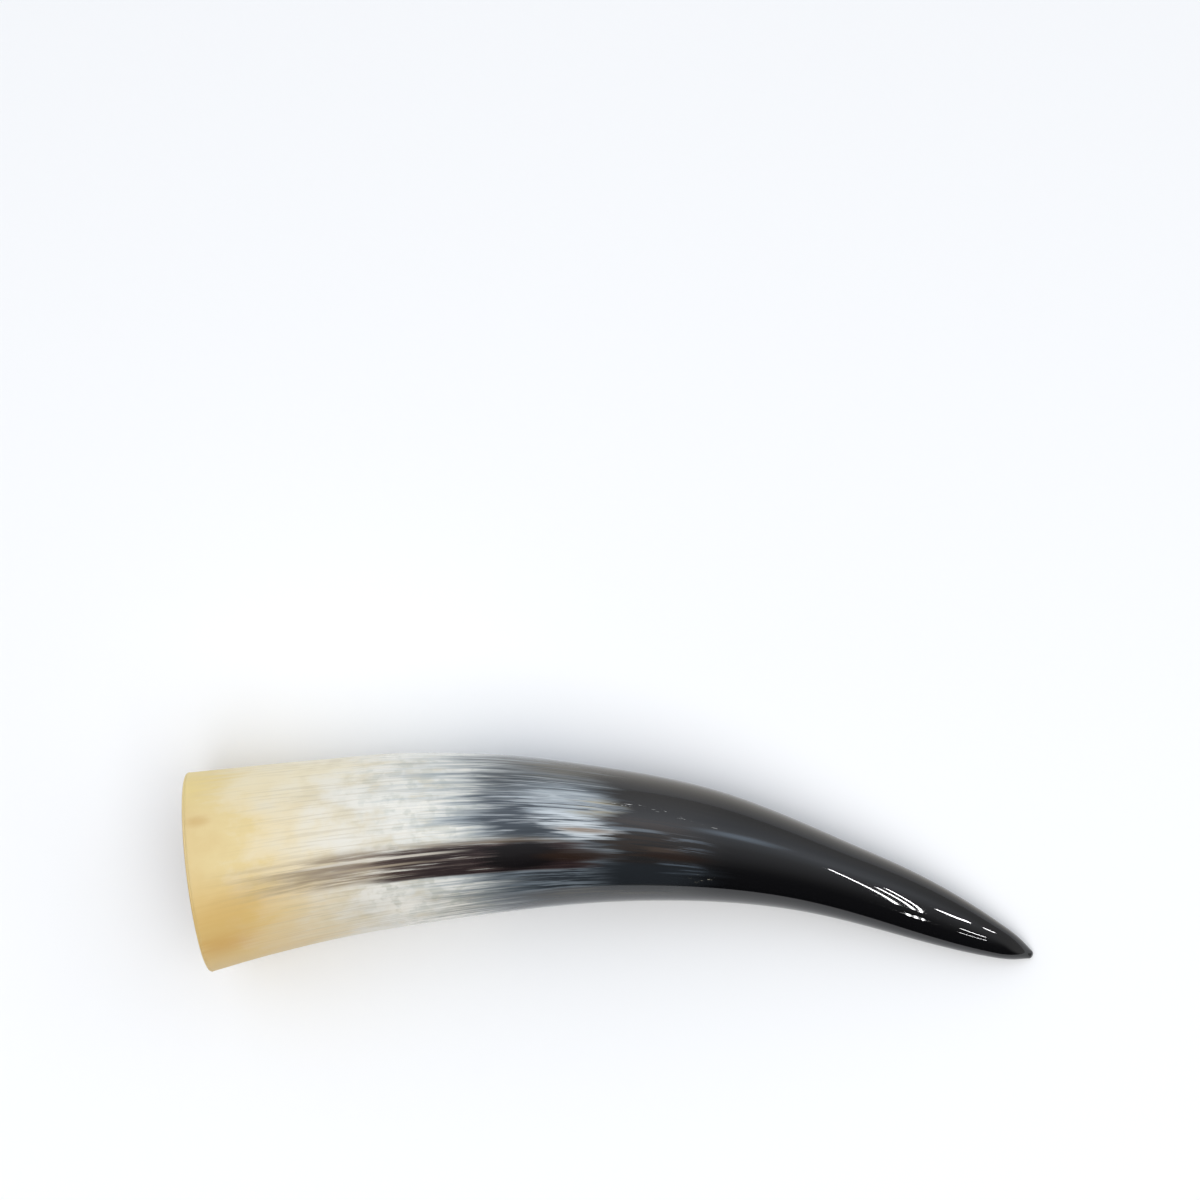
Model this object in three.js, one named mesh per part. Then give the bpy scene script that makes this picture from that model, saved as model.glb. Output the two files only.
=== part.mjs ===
// A polished cow horn lying on its side: the hollow keratin sheath of one horn, sawn off at the base.
// Millimetres, +Z up, +X from the base towards the tip, +Y towards the outer side of the bend.
// The origin is under the middle of the horn, on the surface that it lies on.
//
// The horn is first turned straight, as a bowl is turned on a lathe: one profile runs from the end of
// the hollow down to the sawn rim, across it, and up the outside to the tip. Each point of that turned
// form is then carried to its place along the bent spine.

import * as THREE from "three";
import { mergeVertices } from "three/addons/utils/BufferGeometryUtils.js";

// The spine seen from above, from the middle of the sawn base to the tip
const SPINE = new THREE.CubicBezierCurve(
  new THREE.Vector2(0, 0),
  new THREE.Vector2(164, 34),
  new THREE.Vector2(227, -4.5),
  new THREE.Vector2(296, -32.8),
);
const SPINE_LENGTH = SPINE.getLength();

// The outside, as [distance along the spine, half width], and the round tip that closes it
const GIRTH = [
  [0, 34.9],
  [18, 33.3],
  [49, 31.2],
  [104, 28],
  [160, 22],
  [215, 15.1],
  [264, 10.4],
  [292, 5.6],
];
const TIP_RADIUS = 1.6;
const TIP_HALF_ANGLE = THREE.MathUtils.degToRad(21.5);
const OVALITY = 0.92; // a section's height against its width

// Gentle swells of growth on the outer side of the bend, as [distance along the spine, height, reach]
const SWELLS = [
  [70, 0.5, 15],
  [134, -0.6, 22],
  [182, 0.5, 20],
  [228, -0.35, 16],
];

// The sawn base: its wall, its broken edges, and how far the cut leans off square to the spine
const RIM_WALL = 4.7;
const RIM_ARRIS = 0.8;
const SAW_LEAN = THREE.MathUtils.degToRad(4.4);
const SAW_LEAN_REACH = 60; // the sections stand square again this far along the spine

// The hollow that the bone core left, as [distance along the spine, half width] between mouth and end
const HOLLOW = [
  [45, 26],
  [95, 18.8],
  [140, 9.8],
];
const HOLLOW_DEPTH = 170;

// The belly touches the surface at the base, at this distance along the spine, and at the tip
const BELLY_TOUCH = 120;
const BELLY_ARCH = 1.5; // clearance under the belly midway between two touches

// Facets: round the horn, and along each stretch of the profile
const FACETS_ROUND = 40;
const SIDE_RINGS = 40;
const HOLLOW_RINGS = 18;
const TIP_RINGS = 4;
const ARRIS_RINGS = 2;

// Steps in which the side and the tip are read to find a half width
const SIDE_READINGS = 400;
const TIP_READINGS = 20;

// The colour along the horn, as [share of the spine, colour]: honey base, ivory, smoky grey, black tip
const COLOURS = [
  [0, new THREE.Color(0xe2c78c)],
  [0.3, new THREE.Color(0xdfd9c8)],
  [0.45, new THREE.Color(0x8d9093)],
  [0.62, new THREE.Color(0x35343a)],
  [1, new THREE.Color(0x141418)],
];

// A profile point: x is the half width, y the distance along the spine
const profilePoint = ([distance, halfWidth]) => new THREE.Vector2(halfWidth, distance);

const tipCentre = SPINE_LENGTH - TIP_RADIUS;
const tipArc = new THREE.EllipseCurve(0, tipCentre, TIP_RADIUS, TIP_RADIUS, TIP_HALF_ANGLE, Math.PI / 2);
const side = new THREE.SplineCurve([...GIRTH.map(profilePoint), tipArc.getPoint(0)]);

// Straight-line reading of the side's half width at a distance along the spine
const sideSamples = [...side.getPoints(SIDE_READINGS), ...tipArc.getPoints(TIP_READINGS)];
function halfWidthAt(distance) {
  const next = Math.max(1, sideSamples.findIndex((sample) => sample.y >= distance));
  const [low, high] = [sideSamples[next - 1], sideSamples[next]];
  return THREE.MathUtils.mapLinear(distance, low.y, high.y, low.x, high.x);
}

// A broken edge of the rim: a quarter round about a centre at this half width
function arris(halfWidth, from, to) {
  const edge = new THREE.EllipseCurve(halfWidth, RIM_ARRIS, RIM_ARRIS, RIM_ARRIS, from, to);
  return edge.getPoints(ARRIS_RINGS);
}

// The profile of the hollow, from its end on the spine to the flat of the rim
function hollowProfile() {
  const mouth = GIRTH[0][1] - RIM_WALL;
  const outline = [[HOLLOW_DEPTH, 0], ...HOLLOW.toReversed(), [0, mouth]];
  const bore = new THREE.SplineCurve(outline.map(profilePoint));
  return [
    ...bore.getSpacedPoints(HOLLOW_RINGS).slice(0, -1),
    ...arris(mouth + RIM_ARRIS, Math.PI, 1.5 * Math.PI),
  ];
}

// The profile of the outside, from the flat of the rim to the tip
function outsideProfile() {
  const flank = side.getSpacedPoints(SIDE_RINGS).slice(1, -1);
  return [
    ...arris(GIRTH[0][1] - RIM_ARRIS, 1.5 * Math.PI, 2 * Math.PI),
    ...flank,
    ...tipArc.getPoints(TIP_RINGS),
  ];
}

// Height of the swells at a distance along the spine
function swellAt(distance) {
  const swell = ([centre, height, reach]) => height * Math.exp(-(((distance - centre) / reach) ** 2));
  return SWELLS.map(swell).reduce((sum, height) => sum + height, 0);
}

// Height of the spine: the lower half of the section, and the arch of the belly between its touches
function spineHeight(distance) {
  const [from, to] = distance < BELLY_TOUCH ? [0, BELLY_TOUCH] : [BELLY_TOUCH, SPINE_LENGTH];
  const arch = BELLY_ARCH * Math.sin((Math.PI * (distance - from)) / (to - from)) ** 2;
  return OVALITY * halfWidthAt(distance) + arch;
}

// Carries a point of the turned form, whose axis is Y, to its place on the bent spine
function carried(turned, isOutside) {
  const distance = THREE.MathUtils.clamp(turned.y, 0, SPINE_LENGTH);
  const radius = Math.hypot(turned.x, turned.z);
  const outerShare = radius > 0 ? Math.max(0, -turned.x / radius) ** 2 : 0;
  const grown = isOutside && radius > 0 ? 1 + (swellAt(distance) * outerShare) / radius : 1;
  const sideways = -turned.x * grown;
  const squareness = Math.min(distance / SAW_LEAN_REACH, 1);
  const leaning = sideways * Math.tan(SAW_LEAN) * (1 - squareness) ** 2;
  const middle = SPINE.getPointAt(distance / SPINE_LENGTH);
  const along = SPINE.getTangentAt(distance / SPINE_LENGTH);
  return new THREE.Vector3(
    middle.x - along.y * sideways + along.x * leaning,
    middle.y + along.x * sideways + along.y * leaning,
    spineHeight(distance) + turned.z * grown * OVALITY,
  );
}

// The colour at a share of the spine's length
function colourAt(share) {
  const next = Math.max(1, COLOURS.findIndex(([end]) => end >= share));
  const [[from, pale], [to, dark]] = [COLOURS[next - 1], COLOURS[next]];
  return pale.clone().lerp(dark, (share - from) / (to - from));
}

function hornGeometry() {
  const hollow = hollowProfile();
  const profile = [...hollow, ...outsideProfile()];
  const geometry = new THREE.LatheGeometry(profile, FACETS_ROUND);
  const places = geometry.getAttribute("position");
  const colours = new Float32Array(places.count * 3);
  for (let i = 0; i < places.count; i += 1) {
    const turned = new THREE.Vector3().fromBufferAttribute(places, i);
    colourAt(THREE.MathUtils.clamp(turned.y / SPINE_LENGTH, 0, 1)).toArray(colours, i * 3);
    const place = carried(turned, i % profile.length >= hollow.length);
    places.setXYZ(i, place.x, place.y, place.z);
  }
  geometry.setAttribute("color", new THREE.BufferAttribute(colours, 3));
  geometry.deleteAttribute("uv");
  geometry.deleteAttribute("normal");
  const closed = mergeVertices(geometry);
  closed.computeVertexNormals();
  return closed;
}

const polishedKeratin = new THREE.MeshStandardMaterial({
  vertexColors: true,
  roughness: 0.18,
  metalness: 0,
});

const horn = new THREE.Mesh(hornGeometry(), polishedKeratin);
horn.name = "horn";

// The origin goes under the middle of the horn's box, on the surface
horn.geometry.computeBoundingBox();
const box = horn.geometry.boundingBox;
horn.position.set(-(box.min.x + box.max.x) / 2, -(box.min.y + box.max.y) / 2, -box.min.z);

const part = new THREE.Group();
part.add(horn);

export default part;
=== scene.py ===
import bpy
import numpy as np
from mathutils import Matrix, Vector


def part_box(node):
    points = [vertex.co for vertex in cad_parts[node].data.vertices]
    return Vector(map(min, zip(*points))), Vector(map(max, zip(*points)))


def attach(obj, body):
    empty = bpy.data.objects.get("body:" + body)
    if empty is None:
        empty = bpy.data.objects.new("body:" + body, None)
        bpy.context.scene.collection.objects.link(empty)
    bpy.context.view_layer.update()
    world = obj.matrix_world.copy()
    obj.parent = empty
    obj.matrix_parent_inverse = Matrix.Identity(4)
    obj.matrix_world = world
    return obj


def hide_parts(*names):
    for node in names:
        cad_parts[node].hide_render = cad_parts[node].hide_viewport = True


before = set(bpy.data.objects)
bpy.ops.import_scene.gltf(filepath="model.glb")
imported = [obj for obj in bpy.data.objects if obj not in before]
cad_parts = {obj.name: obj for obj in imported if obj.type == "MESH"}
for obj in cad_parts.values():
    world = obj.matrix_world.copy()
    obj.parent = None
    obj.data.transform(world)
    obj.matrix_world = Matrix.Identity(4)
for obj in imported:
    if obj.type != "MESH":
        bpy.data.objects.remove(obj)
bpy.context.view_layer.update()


# The camera hangs straight above the surface and looks down, as at a product shot from a copy stand.
# The horn lies in the lower part of its view, with its tip to the right.
VIEW_HEIGHT = 1.1
VIEW_WIDTH = 0.4323  # of the surface, across the whole picture
VIEW_MIDDLE = (0.1402, 0.0952)  # from the middle of the sawn base
SENSOR = 36.0
VIEW_END = 20.0

# The middle of the sawn base lies this far from the low corner of the horn's box
BASE_MIDDLE = (0.00435, 0.03455)

horn_low, horn_high = (np.array(corner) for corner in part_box("horn"))
base_middle = horn_low[:2] + BASE_MIDDLE
camera = bpy.data.cameras.new("overhead_camera")
camera.sensor_width = SENSOR
camera.lens = SENSOR * VIEW_HEIGHT / VIEW_WIDTH
camera.clip_end = VIEW_END
camera_object = bpy.data.objects.new("overhead_camera", camera)
camera_object.location = (*(base_middle + VIEW_MIDDLE), VIEW_HEIGHT)
bpy.context.scene.collection.objects.link(camera_object)
bpy.context.scene.camera = camera_object


# The horn is the keratin sheath of one cow horn, grown as one piece over a core of bone that is gone, so
# its base is hollow. It was sawn off flat, scraped and sanded along its length, and buffed to a gloss.
# It is worked out in millimetres with the middle of its sawn base at zero, and put in its box in metres.
MM = 0.001
SPINE = np.array([[0, 0], [164, 34], [227, -4.5], [296, -32.8]])
GIRTH = [[0, 34.9], [18, 33.3], [49, 31.2], [104, 28], [160, 22], [215, 15.1], [264, 10.4], [292, 5.6]]
TIP_RADIUS = 1.6
TIP_HALF_ANGLE = np.radians(19.8)
CROWN = [[0, 32.1], [18, 30.6], [49, 28.7], [104, 25.8], [160, 20.5], [215, 14.5], [264, 9], [292, 5.15]]
TIP_OVALITY = 0.92  # the round tip's height against its width
SWELLS = [[70, 0.5, 15], [134, -0.6, 22], [182, 0.5, 20], [228, -0.35, 16]]  # distance, height, reach
RIM_WALL = 4.7
RIM_ARRIS = 0.8
SAW_LEAN = np.radians(4.4)
SAW_LEAN_REACH = 60
HOLLOW = [[45, 26], [95, 18.8], [140, 9.8]]
HOLLOW_DEPTH = 170
BELLY_TOUCH = 120
BELLY_ARCH = 1.5

# Long shallow flats that the hand scraper left: count round the horn, twist for each mm, and start
SCRAPES = [[5, 0.045, 0], [8, -0.03, 2], [3, 0.09, 4]]
SCRAPE_DEPTH = 0.04
SCRAPE_END = 190  # beyond this distance they are buffed away
# Ridges in the raw wall of the hollow, in the same terms
RIDGES = [[23, 0.02, 0], [37, -0.04, 1]]
RIDGE_DEPTH = 0.12
EASE = 6  # the relief fades out over this distance from the rim
LEAST_WIDTH = 0.001  # at the very tip, where the skin closes
GRAIN_GIRTH = 30.0  # half width of the straight horn on which the grain is drawn

FACETS_ROUND = 200
HOLLOW_RINGS = 70
ARRIS_RINGS = 6
SIDE_RINGS = 330
TIP_RINGS = 12
SPINE_READINGS = 4001
CURVE_READINGS = 600  # between two points of a profile


def bezier(points, share):
    """A cubic Bezier curve: four points, weighted by the Bernstein polynomials of the share."""
    rest = 1 - share
    weights = np.stack([rest**3, 3 * share * rest**2, 3 * share**2 * rest, share**3])
    return weights.T @ points


def smooth_line(points):
    """A Catmull-Rom spline: a cubic between each two points, whose slope at a point is half the step
    from the point before it to the point after it."""
    padded = np.concatenate([points[:1], points, points[-1:]])
    p0, p1, p2, p3 = padded[:-3], padded[1:-2], padded[2:-1], padded[3:]
    slope1, slope2 = (p2 - p0) / 2, (p3 - p1) / 2
    w = np.linspace(0, 1, CURVE_READINGS, endpoint=False)[:, None, None]
    cubic = (2 * p1 - 2 * p2 + slope1 + slope2) * w**3
    cubic = cubic + (3 * p2 - 3 * p1 - 2 * slope1 - slope2) * w**2 + slope1 * w + p1
    return np.concatenate([cubic.transpose(1, 0, 2).reshape(-1, 2), points[-1:]])


def respaced(line, count):
    """The same line, with this many points at even distances along it."""
    steps = np.hypot(*np.diff(line, axis=0).T)
    run = np.concatenate([[0], np.cumsum(steps)])
    even = np.linspace(0, run[-1], count)
    return np.stack([np.interp(even, run, column) for column in line.T], axis=1)


def arc(middle, radius, start, stop, count):
    """Points of a circle in the profile's plane, as distance along the spine and half width."""
    turn = np.linspace(start, stop, count)
    return np.stack([middle[0] + radius * np.sin(turn), middle[1] + radius * np.cos(turn)], axis=1)


spine_line = bezier(SPINE, np.linspace(0, 1, SPINE_READINGS))
spine_steps = np.hypot(*np.diff(spine_line, axis=0).T)
spine_run = np.concatenate([[0], np.cumsum(spine_steps)])
spine_heading = np.gradient(spine_line, axis=0)
spine_heading /= np.hypot(*spine_heading.T)[:, None]
spine_length = spine_run[-1]

# The profile, as distance along the spine and half width: out of the hollow, over the rim, to the tip
tip_arc = arc((spine_length - TIP_RADIUS, 0), TIP_RADIUS, TIP_HALF_ANGLE, np.pi / 2, TIP_RINGS)
side = smooth_line(np.array([*GIRTH, tip_arc[0]]))
mouth = GIRTH[0][1] - RIM_WALL
bore = smooth_line(np.array([[HOLLOW_DEPTH, 0], *HOLLOW[::-1], [0, mouth]]))
bore = bore[bore[:, 0] > RIM_ARRIS]
inner_arris = arc((RIM_ARRIS, mouth + RIM_ARRIS), RIM_ARRIS, -np.pi, -np.pi / 2, ARRIS_RINGS)
outer_arris = arc((RIM_ARRIS, GIRTH[0][1] - RIM_ARRIS), RIM_ARRIS, -np.pi / 2, 0, ARRIS_RINGS)
flank = side[side[:, 0] > RIM_ARRIS]
low_arc = tip_arc * (1, TIP_OVALITY)
crown = np.concatenate([smooth_line(np.array([*CROWN, low_arc[0]])), low_arc[1:]])
stretches = [
    respaced(bore, HOLLOW_RINGS),
    inner_arris,
    outer_arris,
    respaced(flank, SIDE_RINGS)[:-1],
    tip_arc,
]
profile = np.concatenate(stretches)
stretch_ends = np.cumsum([len(stretch) for stretch in stretches])


def waves(distance, turn, settings):
    """A sum of sines that run round the horn and twist slowly along it."""
    return sum(np.sin(count * turn + twist * distance + start) for count, twist, start in settings)


def belly_arch(distance):
    """The clearance under the belly: a squared sine that is zero at the base, at the touch and at the
    tip. The share of the spine is bent by a parabola, so that half of it is reached at the touch."""
    touch = BELLY_TOUCH / spine_length
    bend = (0.5 / touch - 1) / (1 - touch)
    share = distance / spine_length
    return BELLY_ARCH * np.sin(2 * np.pi * share * (1 + bend * (1 - share))) ** 2


def horn_surface(profile, outside, turn):
    """The profile's half width swept round the spine. At each distance the section is an ellipse in an
    upright plane across the spine, as high as the crown line says. Near the base each point also slides
    along the spine by its sideways offset times the lean of the saw cut. The outer side swells in bell
    curves, the skin has scraped flats, and the wall of the hollow has ridges."""
    distance, half_width = (column[:, None] for column in profile.T)
    swell = sum(height * np.exp(-(((distance - centre) / reach) ** 2)) for centre, height, reach in SWELLS)
    swell = swell * np.maximum(0, np.cos(turn)) ** 2
    fade = half_width / GIRTH[0][1] * np.minimum(distance / EASE, 1)
    scraped = SCRAPE_DEPTH * waves(distance, turn, SCRAPES) * np.maximum(1 - distance / SCRAPE_END, 0)
    ridged = RIDGE_DEPTH * waves(distance, turn, RIDGES)
    radius = half_width + np.where(outside[:, None], swell + scraped * fade, ridged * fade)
    sideways = radius * np.cos(turn)
    slide = sideways * np.tan(SAW_LEAN) * (1 - np.minimum(distance / SAW_LEAN_REACH, 1)) ** 2
    middle = [np.interp(distance, spine_run, column) for column in spine_line.T]
    heading = [np.interp(distance, spine_run, column) for column in spine_heading.T]
    skin_width = np.interp(distance, *np.concatenate([side, tip_arc[1:]]).T)
    half_height = np.interp(distance, *crown.T)
    x = middle[0] - heading[1] * sideways + heading[0] * slide
    y = middle[1] + heading[0] * sideways + heading[1] * slide
    upright = radius * np.sin(turn) / np.maximum(skin_width, LEAST_WIDTH)
    z = half_height * (1 + upright) + belly_arch(distance)
    return np.stack(np.broadcast_arrays(x, y, z), axis=2)


turn = np.linspace(0, 2 * np.pi, FACETS_ROUND, endpoint=False)[None, :]
outside = np.arange(len(profile)) >= stretch_ends[1]
rings = horn_surface(profile, outside, turn)

# Each point's place on the grain: distance along the spine, and a circle round it, in mm
grain_round = GRAIN_GIRTH * np.stack([np.cos(turn), np.sin(turn)], axis=2)
grain_parts = [
    np.broadcast_to(profile[:, None, :1], (*rings.shape[:2], 1)),
    np.broadcast_to(grain_round, (*rings.shape[:2], 2)),
]
grain = np.concatenate(grain_parts, axis=2)

# The first and last ring are points on the spine, so each is one vertex and a fan of triangles
points = np.concatenate([rings[0, :1], rings[1:-1].reshape(-1, 3), rings[-1, :1]])
grain = np.concatenate([grain[0, :1], grain[1:-1].reshape(-1, 3), grain[-1, :1]])
half_widths = np.concatenate([[0], np.repeat(profile[1:-1, 1], FACETS_ROUND), [0]])
ring_count = len(profile) - 2
ring = 1 + FACETS_ROUND * np.arange(ring_count)[:, None]
here = np.arange(FACETS_ROUND)[None, :]
following = (here + 1) % FACETS_ROUND
low, high = ring[:-1], ring[1:]
corners = np.broadcast_arrays(low + here, low + following, high + following, high + here)
quads = np.stack(corners, axis=2)
last = len(points) - 1
first_fan = np.stack(np.broadcast_arrays(0, 1 + following[0], 1 + here[0]), axis=1)
last_fan = np.stack(np.broadcast_arrays(last, ring[-1] + here[0], ring[-1] + following[0]), axis=1)
faces = quads.reshape(-1, 4).tolist() + first_fan.tolist() + last_fan.tolist()
fan = np.zeros(FACETS_ROUND, int)
face_ring = np.concatenate([np.repeat(np.arange(1, ring_count), FACETS_ROUND), fan, fan + ring_count])

points = points * MM
own_low, own_high = points.min(axis=0), points.max(axis=0)
points += (horn_low + horn_high) / 2 - (own_low + own_high) / 2
points[:, 2] += horn_low[2] - points[:, 2].min()

horn_mesh = bpy.data.meshes.new("horn_sheath")
horn_mesh.from_pydata(points.tolist(), [], faces)
horn_mesh.attributes.new("grain", "FLOAT_VECTOR", "POINT").data.foreach_set("vector", grain.ravel())
horn_mesh.attributes.new("half_width", "FLOAT", "POINT").data.foreach_set("value", half_widths)
horn_mesh.polygons.foreach_set("use_smooth", np.ones(len(faces), bool))
face_slot = np.digitize(face_ring, [stretch_ends[0], stretch_ends[1] + ARRIS_RINGS // 2])
horn_mesh.polygons.foreach_set("material_index", face_slot)
horn_mesh.update()
horn = bpy.data.objects.new("horn_sheath", horn_mesh)
bpy.context.scene.collection.objects.link(horn)
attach(horn, "root")
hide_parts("horn")


def linear(hex_colour):
    """An sRGB hex colour as linear red, green, blue and full opacity."""
    shares = np.array([int(hex_colour[i : i + 2], 16) for i in (1, 3, 5)]) / 255
    curve = np.where(shares <= 0.04045, shares / 12.92, ((shares + 0.055) / 1.055) ** 2.4)
    return (*curve.tolist(), 1.0)


def add_node(tree, kind, inputs=None, stops=None, **settings):
    """Adds one node. An input is a plain value or the socket that it is linked to; stops are a ramp's."""
    node = tree.nodes.new(kind)
    for name, value in settings.items():
        setattr(node, name, value)
    for name, value in (inputs or {}).items():
        if isinstance(value, bpy.types.NodeSocket):
            tree.links.new(value, node.inputs[name])
        else:
            node.inputs[name].default_value = value
    if stops:
        elements = node.color_ramp.elements
        while len(elements) < len(stops):
            elements.new(1.0)
        for element, (place, colour) in zip(elements, stops):
            element.position = place
            element.color = linear(colour)
    return node


KERATIN_IOR = 1.55
MIX_SHARE, MIX_UNDER, MIX_OVER, MIX_RESULT = 0, 6, 7, 2  # sockets of a colour mix

# Raw horn, as the bone core left it: dull, ridged lengthwise and tan, with painted shade that darkens it
# to brown further into the hollow.
RIDGE_LENGTH, RIDGE_WIDTH = 22, 1.1
RIDGE_DETAIL = 4
RIDGE_RELIEF, RIDGE_RELIEF_SHARE = 0.4, 0.6
SHADE_START, SHADE_END = 8.0, 150.0
DEEPEST_SHADE = 0.85
RAW_ROUGHNESS = 0.62
raw_horn = bpy.data.materials.new("raw_horn_hollow")
raw_horn.use_nodes = True
tree = raw_horn.node_tree
grain = add_node(tree, "ShaderNodeAttribute", attribute_name="grain").outputs["Vector"]
depth = add_node(tree, "ShaderNodeSeparateXYZ", {0: grain}).outputs["X"]
ridge_scale = (1 / RIDGE_LENGTH, 1 / RIDGE_WIDTH, 1 / RIDGE_WIDTH)
stretched = add_node(tree, "ShaderNodeMapping", {"Vector": grain, "Scale": ridge_scale}).outputs[0]
ridges = add_node(
    tree, "ShaderNodeTexNoise", {"Vector": stretched, "Scale": 1, "Detail": RIDGE_DETAIL}
).outputs["Fac"]
raw_tint = add_node(
    tree,
    "ShaderNodeValToRGB",
    {"Fac": ridges},
    stops=[(0.3, "#A2835A"), (0.52, "#BD9F6D"), (0.7, "#CDB280")],
).outputs["Color"]
# Painted shade: darker brown deeper into the hollow
shade = add_node(
    tree,
    "ShaderNodeMapRange",
    {"Value": depth, "From Min": SHADE_START, "From Max": SHADE_END, "To Max": DEEPEST_SHADE},
).outputs[0]
raw_tint = add_node(
    tree,
    "ShaderNodeMix",
    {MIX_SHARE: shade, MIX_UNDER: raw_tint, MIX_OVER: linear("#4A3726")},
    data_type="RGBA",
).outputs[MIX_RESULT]
raw_relief = add_node(
    tree,
    "ShaderNodeBump",
    {"Height": ridges, "Strength": RIDGE_RELIEF_SHARE, "Distance": RIDGE_RELIEF * MM},
).outputs[0]
shader = tree.nodes["Principled BSDF"]
tree.links.new(raw_tint, shader.inputs["Base Color"])
tree.links.new(raw_relief, shader.inputs["Normal"])
shader.inputs["Roughness"].default_value = RAW_ROUGHNESS
shader.inputs["IOR"].default_value = KERATIN_IOR

# Sawn end grain: thin layers of keratin that follow the wall round, with the faint strokes of the saw,
# sanded to a satin.
LAYER_THICKNESS, LAYER_RUN = 0.7, 25
SAW_STROKE, SAW_STROKE_LENGTH = 1.6, 32
SAWN_DETAIL = 3
SAW_RELIEF, SAW_RELIEF_SHARE = 0.2, 0.5
SAWN_ROUGHNESS = 0.42
sawn_horn = bpy.data.materials.new("sawn_horn_rim")
sawn_horn.use_nodes = True
tree = sawn_horn.node_tree
grain = add_node(tree, "ShaderNodeAttribute", attribute_name="grain").outputs["Vector"]
turned = add_node(tree, "ShaderNodeSeparateXYZ", {0: grain}).outputs
wall = add_node(tree, "ShaderNodeAttribute", attribute_name="half_width").outputs["Fac"]
wall_parts = {0: wall, 1: turned["Y"], 2: turned["Z"]}
wall_place = add_node(tree, "ShaderNodeCombineXYZ", wall_parts).outputs[0]
layer_scale = (1 / LAYER_THICKNESS, 1 / LAYER_RUN, 1 / LAYER_RUN)
stretched = add_node(
    tree, "ShaderNodeMapping", {"Vector": wall_place, "Scale": layer_scale}
).outputs[0]
layers = add_node(
    tree, "ShaderNodeTexNoise", {"Vector": stretched, "Scale": 1, "Detail": SAWN_DETAIL}
).outputs["Fac"]
sawn_tint = add_node(
    tree,
    "ShaderNodeValToRGB",
    {"Fac": layers},
    stops=[(0.3, "#BE9A5A"), (0.5, "#D9BD84"), (0.7, "#E8D5A8")],
).outputs["Color"]
place = add_node(tree, "ShaderNodeTexCoord").outputs["Object"]
stroke_scale = (0, 1 / (SAW_STROKE_LENGTH * MM), 1 / (SAW_STROKE * MM))
stretched = add_node(tree, "ShaderNodeMapping", {"Vector": place, "Scale": stroke_scale}).outputs[0]
strokes = add_node(
    tree, "ShaderNodeTexNoise", {"Vector": stretched, "Scale": 1, "Detail": SAWN_DETAIL}
).outputs["Fac"]
sawn_relief = add_node(
    tree,
    "ShaderNodeBump",
    {"Height": strokes, "Strength": SAW_RELIEF_SHARE, "Distance": SAW_RELIEF * MM},
).outputs[0]
shader = tree.nodes["Principled BSDF"]
tree.links.new(sawn_tint, shader.inputs["Base Color"])
tree.links.new(sawn_relief, shader.inputs["Normal"])
shader.inputs["Roughness"].default_value = SAWN_ROUGHNESS
shader.inputs["IOR"].default_value = KERATIN_IOR

# Polished keratin: milky and honey-coloured where it is pale, with dark pigment in fibres that run
# lengthwise and draw together at the tip. The skin is satin at the base and buffed to a mirror gloss
# where it is black.
keratin = bpy.data.materials.new("polished_horn_keratin")
keratin.use_nodes = True
tree = keratin.node_tree
grain = add_node(tree, "ShaderNodeAttribute", attribute_name="grain").outputs["Vector"]
grain_parts = add_node(tree, "ShaderNodeSeparateXYZ", {0: grain}).outputs
along = grain_parts["X"]
inward = add_node(
    tree, "ShaderNodeMath", {0: grain_parts["Y"], 1: -1.0}, operation="MULTIPLY"
).outputs[0]
lean = add_node(
    tree, "ShaderNodeMath", {0: inward, 1: grain_parts["Z"]}, operation="ARCTAN2"
).outputs[0]
around = add_node(tree, "ShaderNodeMath", {0: lean}, operation="DEGREES").outputs[0]

# The figures of the grain: length along the horn and width round it, in mm at the base, and how finely
# and how roughly each is broken up. Each is zero on average and strays about a quarter each way.
FIGURES = {
    "comb": (36, 1.5, 5, 0.62),
    "fibre": (26, 0.65, 3, 0.55),
    "streak": (45, 2.2, 4, 0.55),
    "drift": (80, 12, 2, 0.5),
    "cloud": (10, 7, 5, 0.55),
    "curd": (4.5, 4, 3, 0.5),
    "speck": (2.3, 0.5, 3, 0.6),
}
FIGURE_START, FIGURE_SHIFT = 0.37, 13.7  # keep the figures from lying over each other
RAGGED_DRIFT = 0.7  # share of the drift in the ragged figure
FEATHER_GAIN, WANDER_GAIN = 4, 2
figure = {}
for order, (name, (length, width, detail, roughness)) in enumerate(FIGURES.items()):
    figure_scale = (1 / length, 1 / width, 1 / width)
    shift = (FIGURE_START + FIGURE_SHIFT * order, 0, 0)
    stretched = add_node(
        tree, "ShaderNodeMapping", {"Vector": grain, "Location": shift, "Scale": figure_scale}
    )
    noise = add_node(
        tree,
        "ShaderNodeTexNoise",
        {"Vector": stretched.outputs[0], "Scale": 1, "Detail": detail, "Roughness": roughness},
    )
    figure[name] = add_node(
        tree, "ShaderNodeMath", {0: noise.outputs["Fac"], 1: 0.5}, operation="SUBTRACT"
    ).outputs[0]

# Ragged: the comb of fibres carried to and fro by the drift
figure["ragged"] = add_node(
    tree,
    "ShaderNodeMath",
    {0: figure["drift"], 1: RAGGED_DRIFT, 2: figure["comb"]},
    operation="MULTIPLY_ADD",
).outputs[0]


def lay(under, colour, strength, gates):
    """Lays a colour over the one under it. Each gate is a value, the level at which it shuts the colour
    out and the level at which it lets it through, with a smooth step between them."""
    share = strength
    for value, shut, full in gates:
        share = add_node(
            tree,
            "ShaderNodeMapRange",
            {"Value": value, "From Min": shut, "From Max": full, "To Min": 0.0, "To Max": share},
            interpolation_type="SMOOTHSTEP",
        ).outputs[0]
    return add_node(
        tree,
        "ShaderNodeMix",
        {MIX_SHARE: share, MIX_UNDER: under, MIX_OVER: linear(colour)},
        data_type="RGBA",
    ).outputs[MIX_RESULT]


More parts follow.
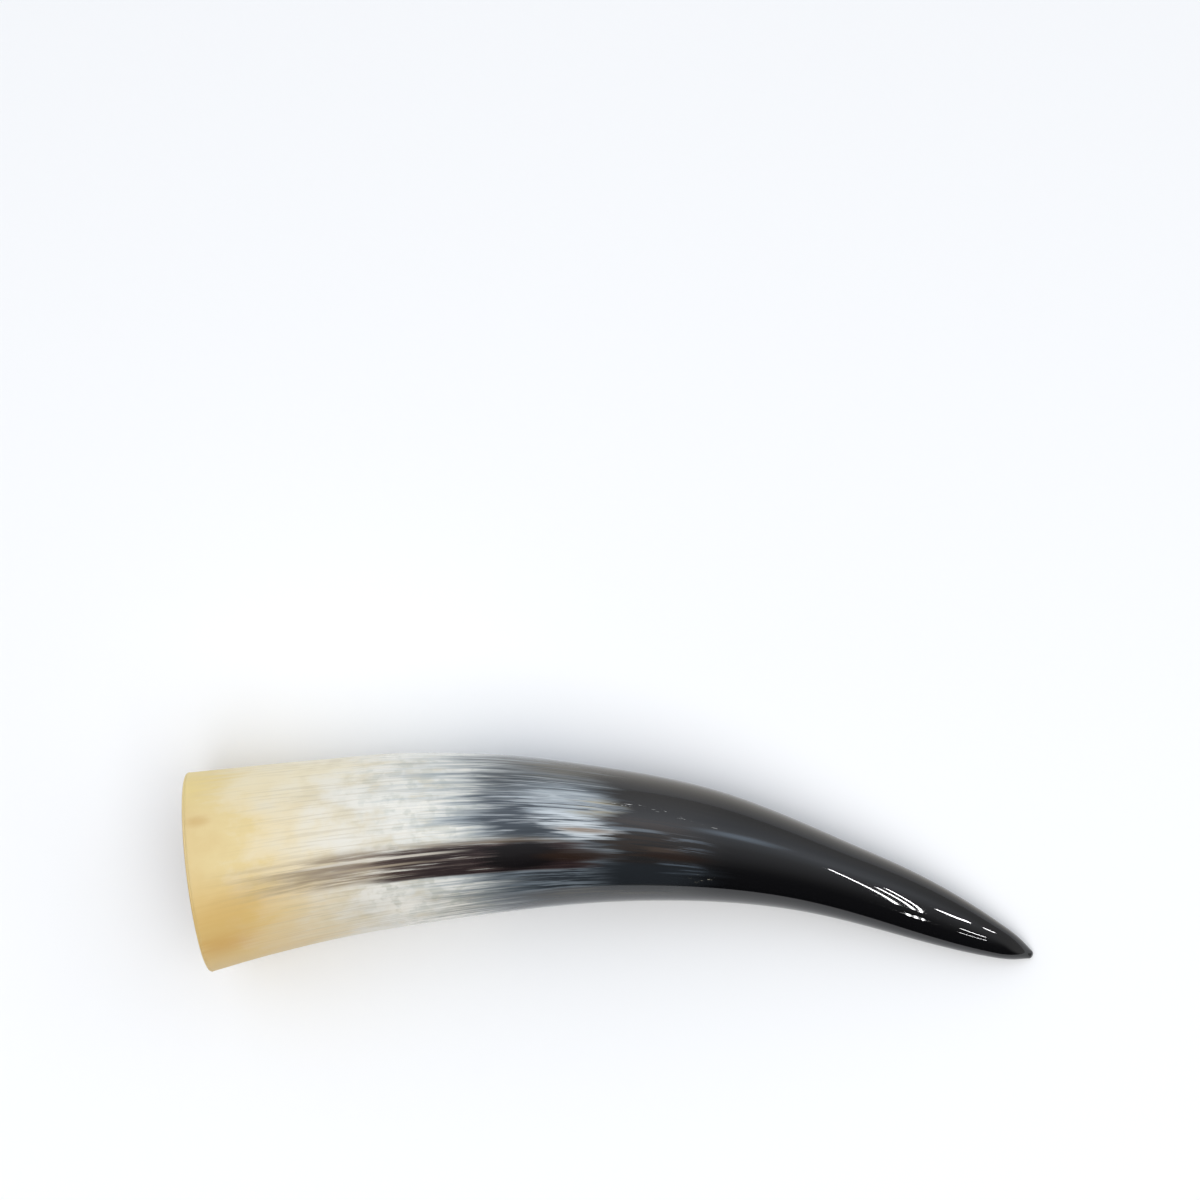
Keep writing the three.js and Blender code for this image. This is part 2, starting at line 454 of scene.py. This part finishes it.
def off_line(middle, wander):
    """Degrees round the horn from a middle line that the drift makes wander, below zero on its outer
    side."""
    off = add_node(
        tree,
        "ShaderNodeMath",
        {0: figure["drift"], 1: WANDER_GAIN * wander, 2: around},
        operation="MULTIPLY_ADD",
    ).outputs[0]
    off = add_node(tree, "ShaderNodeMath", {0: off, 1: middle}, operation="SUBTRACT").outputs[0]
    return add_node(
        tree, "ShaderNodeMath", {0: off, 1: 180.0, 2: -180.0}, operation="WRAP"
    ).outputs[0]


def feathered(feather):
    """The distance along the horn, which the ragged figure pushes to and fro by the feather."""
    return add_node(
        tree,
        "ShaderNodeMath",
        {0: figure["ragged"], 1: FEATHER_GAIN * feather, 2: along},
        operation="MULTIPLY_ADD",
    ).outputs[0]


def wash(
    under, colour, rise=None, fall=None, side=None, strength=1.0, feather=8, wander=6, broken=None
):
    """A stain along the horn. It rises between the two distances of rise and falls between those of fall,
    which the feather makes ragged. The side gives its middle line, its reach in degrees and the width of
    its edge. One figure of the grain can break it."""
    pushed = feathered(feather)
    gates = []
    if rise:
        gates.append((pushed, *rise))
    if fall:
        gates.append((pushed, *fall[::-1]))
    if side:
        middle, reach, edge = side
        off = off_line(middle, wander)
        off = add_node(tree, "ShaderNodeMath", {0: off}, operation="ABSOLUTE").outputs[0]
        gates.append((off, reach + edge, reach))
    if broken:
        name, shut, full = broken
        gates.append((figure[name], shut, full))
    return lay(under, colour, strength, gates)


def blot(
    under, colour, middle, reach, soft=0.4, strength=1.0, feather=5, slant=0, wander=3, broken=None
):
    """An oval stain about a middle, given as mm along the horn and degrees round it, with a reach in each.
    It fades where its oval distance is one, over the soft share on each side. The slant leans it by mm for
    each degree. One figure of the grain can break it."""
    off = off_line(middle[1], wander)
    leaned = add_node(
        tree, "ShaderNodeMath", {0: off, 1: -slant, 2: feathered(feather)}, operation="MULTIPLY_ADD"
    ).outputs[0]
    leaned = add_node(
        tree, "ShaderNodeMath", {0: leaned, 1: middle[0]}, operation="SUBTRACT"
    ).outputs[0]
    place = add_node(tree, "ShaderNodeCombineXYZ", {0: leaned, 1: off}).outputs[0]
    scale = (1 / reach[0], 1 / reach[1], 0)
    place = add_node(tree, "ShaderNodeVectorMath", {0: place, 1: scale}, operation="MULTIPLY").outputs[0]
    oval = add_node(tree, "ShaderNodeVectorMath", {0: place}, operation="LENGTH").outputs["Value"]
    gates = [(oval, 1 + soft, 1 - soft)]
    if broken:
        name, shut, full = broken
        gates.append((figure[name], shut, full))
    return lay(under, colour, strength, gates)


# The pale ground along the horn: honey at the base, cream, then milky white
GROUND = [
    (0, "#DDC48A"),
    (14, "#E1CB93"),
    (24, "#E5D4AC"),
    (42, "#E3D8BD"),
    (58, "#DFDACC"),
    (76, "#DBDBD4"),
]
GROUND_REACH = 95
GROUND_DRIFT, GROUND_CLOUD = 30.0, 45.0  # how far the figures carry it to and fro
place = add_node(
    tree, "ShaderNodeMath", {0: figure["drift"], 1: GROUND_DRIFT, 2: along}, operation="MULTIPLY_ADD"
).outputs[0]
place = add_node(
    tree, "ShaderNodeMath", {0: figure["cloud"], 1: GROUND_CLOUD, 2: place}, operation="MULTIPLY_ADD"
).outputs[0]
place = add_node(tree, "ShaderNodeMath", {0: place, 1: GROUND_REACH}, operation="DIVIDE").outputs[0]
ground_stops = [(end / GROUND_REACH, tint) for end, tint in GROUND]
skin = add_node(tree, "ShaderNodeValToRGB", {"Fac": place}, stops=ground_stops).outputs["Color"]

# Deeper honey on the inner side, paler honey on the outer side that is partly painted bounce light, amber
# near the rim
skin = wash(skin, "#DCB566", fall=(12, 64), side=(54, 24, 40), strength=0.55)
# Painted light: the cream and pale honey on the outer flank are lightened for the table's bounce light,
# over the flank's own paler colour
skin = wash(skin, "#F0E4C2", rise=(8, 26), fall=(50, 84), side=(-76, 16, 28), strength=0.55)
skin = wash(skin, "#EAD288", fall=(2, 22), side=(-78, 18, 26), strength=0.75)
skin = blot(skin, "#CD9740", (9, 47), (9, 8), soft=0.9, strength=0.5)
skin = blot(skin, "#D3A858", (12, 25), (10, 14), soft=0.9, strength=0.4)
skin = blot(skin, "#C2924A", (5.5, -33), (3.5, 3), soft=0.8, strength=0.4, feather=1, wander=1)

# Milky puffs, dull clouds, curds and hair lines in the pale part
skin = wash(skin, "#EBE7DC", rise=(26, 78), fall=(90, 108), strength=0.75, broken=("cloud", -0.04, 0.14))
skin = wash(skin, "#CBBF9F", rise=(24, 60), fall=(84, 104), strength=0.4, broken=("cloud", 0.02, -0.16))
skin = wash(skin, "#BFC1B6", rise=(50, 76), fall=(94, 110), strength=0.5, broken=("curd", 0.02, -0.12))
skin = wash(skin, "#AE9F80", rise=(6, 50), fall=(98, 116), strength=0.26, broken=("fibre", 0.02, 0.12))
skin = wash(skin, "#F0EDE4", rise=(34, 76), fall=(92, 112), strength=0.4, broken=("streak", 0.0, 0.14))
skin = blot(
    skin, "#EFEBE1", (72, 45), (7, 8), soft=0.6, strength=0.7, feather=1, broken=("curd", -0.12, 0.04),
)
skin = blot(
    skin, "#EFECE4", (64, 31), (8, 7), soft=0.6, strength=0.7, feather=1, broken=("curd", -0.12, 0.04),
)
skin = blot(
    skin, "#E9E8E2", (89, 33), (8, 8), soft=0.6, strength=0.7, feather=2, broken=("curd", -0.12, 0.04),
)

# Blue-grey smoke, where dark pigment lies under milky horn, with fibres that run back into the white
skin = wash(
    skin, "#747468", rise=(70, 98), side=(53, 10, 8), strength=0.85, feather=10,
    broken=("comb", -0.16, 0.06),
)
skin = wash(
    skin, "#A5AFB4", rise=(62, 102), side=(-16, 44, 22), strength=0.65, feather=12,
    broken=("comb", -0.14, 0.14),
)
skin = wash(skin, "#939DA3", rise=(76, 106), strength=0.7, feather=13, broken=("fibre", -0.1, 0.1))
skin = wash(skin, "#68727A", rise=(86, 118), strength=0.94, feather=11)
# Painted reflection: the olive-brown along the outer edge stands for the bright table seen at the grazing
# edge
skin = wash(
    skin, "#5A5240", rise=(92, 124), side=(-80, 18, 24), strength=0.8, feather=10,
    broken=("comb", -0.3, 0.1),
)
skin = blot(
    skin, "#2E343A", (108, -47), (9, 8), soft=0.8, strength=0.8, feather=8,
    broken=("comb", -0.24, 0.08),
)
skin = blot(
    skin, "#333B43", (117, -11), (12, 13), soft=0.5, strength=0.95, slant=-0.1, feather=7,
    broken=("comb", -0.24, -0.04),
)
skin = blot(
    skin, "#3B434B", (111, -26), (9, 15), soft=0.7, strength=0.85, slant=0.4, feather=8,
    broken=("comb", -0.26, 0.06),
)

# Umber beyond the smoke, slate on the inner side
skin = wash(skin, "#191615", rise=(130, 148), strength=0.97, feather=8)
skin = wash(skin, "#23272B", rise=(94, 124), fall=(196, 220), side=(46, 25, 8), strength=0.92)
skin = wash(
    skin, "#79838B", rise=(104, 118), fall=(132, 150), side=(30, 10, 8), strength=0.75,
    broken=("comb", -0.03, 0.08),
)
skin = wash(
    skin, "#5A564A", rise=(110, 130), fall=(140, 200), side=(52, 4, 8), strength=0.5,
    broken=("comb", -0.1, 0.1),
)

# The pale feathered patch in front of the dark part, with tan tips
skin = blot(
    skin, "#949DA3", (132, -27), (14, 15), soft=0.3, strength=0.92, slant=0.35, feather=10,
    broken=("comb", -0.14, 0.0),
)
skin = blot(
    skin, "#C2C9CD", (126, -30), (10, 9), soft=0.6, strength=0.8, slant=0.5, feather=10,
    broken=("fibre", -0.06, 0.04),
)
skin = blot(
    skin, "#CDD4D8", (134, -10), (8, 11), soft=0.4, strength=0.92, slant=0.1, wander=1, feather=9,
    broken=("comb", -0.14, 0.02),
)
skin = blot(
    skin, "#39414A", (127, -24), (14, 16), soft=0.4, strength=0.6, feather=7,
    broken=("fibre", 0.05, 0.11),
)
skin = blot(
    skin, "#B3A98C", (142, -25), (6, 7), soft=0.7, strength=0.75, feather=8,
    broken=("comb", -0.08, 0.04),
)
skin = blot(
    skin, "#7C6347", (136, -7), (8, 2), soft=0.7, strength=0.8, feather=4, broken=("comb", -0.2, 0.05),
)

# Fine dark and pale fibres all through the smoke
skin = wash(
    skin, "#2A3036", rise=(92, 108), fall=(136, 150), strength=0.5, feather=10,
    broken=("fibre", 0.02, 0.12),
)
skin = wash(
    skin, "#CBD2D6", rise=(100, 112), fall=(132, 146), side=(-22, 24, 12), strength=0.45, feather=10,
    broken=("fibre", -0.04, -0.13),
)

# Streaks in the dark part
skin = wash(
    skin, "#2F2620", rise=(136, 148), fall=(168, 190), side=(-2, 13, 8), strength=0.75,
    broken=("comb", -0.05, 0.04),
)
skin = wash(
    skin, "#6F7982", rise=(140, 146), fall=(158, 166), side=(-10.5, 0.5, 1.2), strength=0.6,
    feather=3, wander=2,
)
skin = wash(
    skin, "#66717C", rise=(160, 170), fall=(176, 188), side=(-3, 5, 5), strength=0.7,
    broken=("comb", 0.0, 0.08),
)
skin = wash(
    skin, "#5F6A75", rise=(160, 168), fall=(174, 180), side=(21, 3, 4), strength=0.6,
    broken=("comb", -0.04, 0.06),
)
skin = wash(
    skin, "#4A3C32", rise=(154, 160), fall=(164, 172), side=(5, 1, 2), strength=0.5, feather=3,
    wander=2,
)

# The dark band: brown at its sides, black at its heart, with pale fibres in it
skin = wash(
    skin, "#8C785C", rise=(2, 52), fall=(112, 140), side=(11, 8, 7), strength=0.6,
    broken=("comb", -0.2, 0.08),
)
skin = wash(
    skin, "#5F4A3A", rise=(14, 70), fall=(120, 140), side=(11, 7, 4), strength=0.72,
    broken=("comb", -0.14, 0.12),
)
skin = wash(
    skin, "#3E2D2A", rise=(58, 72), fall=(126, 142), side=(13.5, 9.5, 2), strength=0.92, feather=6,
    wander=2, broken=("fibre", -0.16, -0.02),
)
skin = wash(
    skin, "#261C1E", rise=(62, 88), fall=(126, 142), side=(14, 9, 2.5), strength=0.92, feather=9,
    wander=2, broken=("comb", -0.14, 0.0),
)
skin = blot(skin, "#0E0B0D", (113, 13), (13, 11), soft=0.3, strength=0.98, slant=-0.2, wander=1)
skin = blot(skin, "#27180F", (132, 13), (13, 4), soft=0.5, strength=0.9, feather=4)
skin = blot(skin, "#241813", (168, 10), (14, 3), soft=0.5, strength=0.9, feather=4)
skin = wash(
    skin, "#CFC7B9", rise=(32, 46), fall=(80, 100), side=(7, 0.3, 0.9), strength=0.8, feather=4,
    wander=1,
)
skin = wash(
    skin, "#B7A890", rise=(40, 50), fall=(66, 88), side=(12, 0.3, 0.9), strength=0.6, feather=4,
    wander=2,
)

# A second, browner band along the underside
skin = wash(
    skin, "#6B5540", rise=(20, 70), fall=(112, 140), side=(152, 16, 12), strength=0.75,
    broken=("comb", -0.1, 0.08),
)
skin = wash(
    skin, "#2E221E", rise=(52, 92), fall=(126, 146), side=(150, 9, 5), strength=0.85,
    broken=("comb", -0.12, 0.02),
)

# Black from here to the tip, with a wisp of smoke on the shoulder. The olive wash where the outer side
# turns under is painted reflection of the bright table at the grazing edge.
skin = wash(skin, "#0B0B0D", rise=(166, 190), feather=7)
skin = wash(skin, "#4E4534", rise=(116, 146), side=(-90, 6, 36), strength=0.8)
skin = blot(skin, "#4C565F", (190, -20), (11, 3), soft=0.8, strength=0.7, feather=3, slant=-2)

# Nicks that caught white buffing wax
skin = blot(skin, "#BDBDBB", (150, -32), (5, 2), feather=0, wander=0, broken=("speck", 0.12, 0.18))
skin = blot(skin, "#ADADAB", (162, -31), (3.5, 1.6), feather=0, wander=0, broken=("speck", 0.12, 0.18))
skin = blot(
    skin, "#ADADAB", (169.5, -26.5), (2.5, 1.6), feather=0, wander=0, broken=("speck", 0.1, 0.17),
)
skin = blot(skin, "#979795", (178, -24), (4, 1.4), feather=0, wander=0, broken=("speck", 0.12, 0.18))
skin = blot(skin, "#9C9888", (178, 32), (5, 5), feather=0, wander=0, broken=("speck", 0.14, 0.19))

SATIN, MIRROR = 0.46, 0.022
BUFF_START, BUFF_END = 30.0, 125.0
BUFF_FEATHER = 9  # the buffing follows the fibres
buff_range = {"From Min": BUFF_START, "From Max": BUFF_END, "To Min": SATIN, "To Max": MIRROR}
buffed = add_node(
    tree, "ShaderNodeMapRange", {"Value": feathered(BUFF_FEATHER), **buff_range}
).outputs[0]
shader = tree.nodes["Principled BSDF"]
tree.links.new(skin, shader.inputs["Base Color"])
tree.links.new(buffed, shader.inputs["Roughness"])
shader.inputs["IOR"].default_value = KERATIN_IOR

for material in (raw_horn, sawn_horn, keratin):
    horn_mesh.materials.append(material)


# The surface is a plain pale table top, much wider than the view.
FLOOR_SIZE = 6.0
LAMINATE_ROUGHNESS = 0.7
floor_mesh = bpy.data.meshes.new("table_top")
half = FLOOR_SIZE / 2
floor_corners = [(-half, -half, 0), (half, -half, 0), (half, half, 0), (-half, half, 0)]
floor_mesh.from_pydata(floor_corners, [], [(0, 1, 2, 3)])
floor = bpy.data.objects.new("table_top", floor_mesh)
bpy.context.scene.collection.objects.link(floor)
laminate = bpy.data.materials.new("white_laminate")
laminate.use_nodes = True
laminate_shader = laminate.node_tree.nodes["Principled BSDF"]
laminate_shader.inputs["Base Color"].default_value = linear("#FAFAFA")
laminate_shader.inputs["Roughness"].default_value = LAMINATE_ROUGHNESS
floor_mesh.materials.append(laminate)


# The light is soft: a pale room on the outer side of the bend and a dark one on the inner side, a wide
# diffuser overhead, and bare tubes under the ceiling that show only in the polish.
CEILING = 2.0


def lamp(name, start, stop, width, radiance):
    """A flat lamp under the ceiling that faces down, as wide as given, from start to stop. Its power is pi
    times its area times its radiance."""
    run = np.subtract(stop, start)
    light = bpy.data.lights.new(name, "AREA")
    light.shape = "RECTANGLE"
    light.size = np.hypot(*run)
    light.size_y = width
    light.energy = np.pi * light.size * width * radiance
    holder = bpy.data.objects.new(name, light)
    holder.location = (*np.add(start, stop) / 2, CEILING)
    holder.rotation_euler.z = np.arctan2(run[1], run[0])
    holder.visible_camera = False
    bpy.context.scene.collection.objects.link(holder)
    return holder


DIFFUSER_REACH = 1.2  # each way from its middle
DIFFUSER_OFF = -0.9  # towards the inner side of the bend
DIFFUSER_RADIANCE = 2.1
DIFFUSER_GAP = 0.1  # between it and the tubes under it
diffuser = lamp(
    "diffuser",
    (-DIFFUSER_REACH, DIFFUSER_OFF),
    (DIFFUSER_REACH, DIFFUSER_OFF),
    2 * DIFFUSER_REACH,
    DIFFUSER_RADIANCE,
)
diffuser.location.z += DIFFUSER_GAP
diffuser.visible_glossy = False

# Each tube's ends and its width
TUBE_RADIANCE = 80
TUBES = [
    ((1.600, 0.43), (1.265, -0.88), 0.010),
    ((1.620, 0.15), (1.335, -0.80), 0.010),
    ((1.785, 0.39), (1.354, -0.82), 0.010),
    ((1.132, -1.58), (1.083, -1.92), 0.007),
    ((1.160, -1.54), (1.108, -1.88), 0.007),
    ((1.190, -1.51), (1.140, -1.82), 0.007),
    ((1.930, 0.18), (2.315, 0.49), 0.045),
    ((2.798, 0.75), (3.542, 1.02), 0.050),
    ((1.435, -0.93), (1.782, -0.79), 0.025),
    ((1.267, -1.62), (1.630, -1.38), 0.018),
]
for start, stop, width in TUBES:
    tube = lamp("tube", start, stop, width, TUBE_RADIANCE)
    tube.visible_diffuse = False

# The room's brightness by the angle from straight up towards the outer side of the bend, in degrees
ROOM = [
    (-90, "#1A1A1A"),
    (-48, "#2E2E2E"),
    (-39, "#414141"),
    (-30, "#606060"),
    (-10, "#929396"),
    (2, "#A8AAAD"),
    (18, "#CED4DC"),
    (26, "#E5EBF5"),
    (38, "#E0E6EF"),
    (50, "#CDD2DA"),
    (72, "#BEC0C2"),
    (86, "#B2B2B2"),
]
ROOM_RADIANCE = 1.4
FAR_END = "#A0A0A0"  # the room beyond the tip
FAR_START, FAR_FULL = 0.62, 0.85  # how far a direction leans that way where it takes over
world = bpy.data.worlds.new("soft_room")
world.use_nodes = True
tree = world.node_tree
gaze = add_node(tree, "ShaderNodeTexCoord").outputs["Generated"]
gaze = add_node(tree, "ShaderNodeSeparateXYZ", {0: gaze}).outputs
angle = add_node(
    tree, "ShaderNodeMath", {0: gaze["Y"], 1: gaze["Z"]}, operation="ARCTAN2"
).outputs[0]
share = add_node(
    tree,
    "ShaderNodeMapRange",
    {"Value": angle, "From Min": np.radians(-90), "From Max": np.radians(90)},
).outputs[0]
room_stops = [((degrees + 90) / 180, tint) for degrees, tint in ROOM]
room = add_node(tree, "ShaderNodeValToRGB", {"Fac": share}, stops=room_stops).outputs["Color"]
far = add_node(
    tree,
    "ShaderNodeMapRange",
    {"Value": gaze["X"], "From Min": FAR_START, "From Max": FAR_FULL},
    interpolation_type="SMOOTHSTEP",
).outputs[0]
room = add_node(
    tree,
    "ShaderNodeMix",
    {MIX_SHARE: far, MIX_UNDER: room, MIX_OVER: linear(FAR_END)},
    data_type="RGBA",
).outputs[MIX_RESULT]
background = tree.nodes["Background"]
tree.links.new(room, background.inputs["Color"])
background.inputs["Strength"].default_value = ROOM_RADIANCE
bpy.context.scene.world = world
bpy.context.scene.view_settings.view_transform = "Standard"
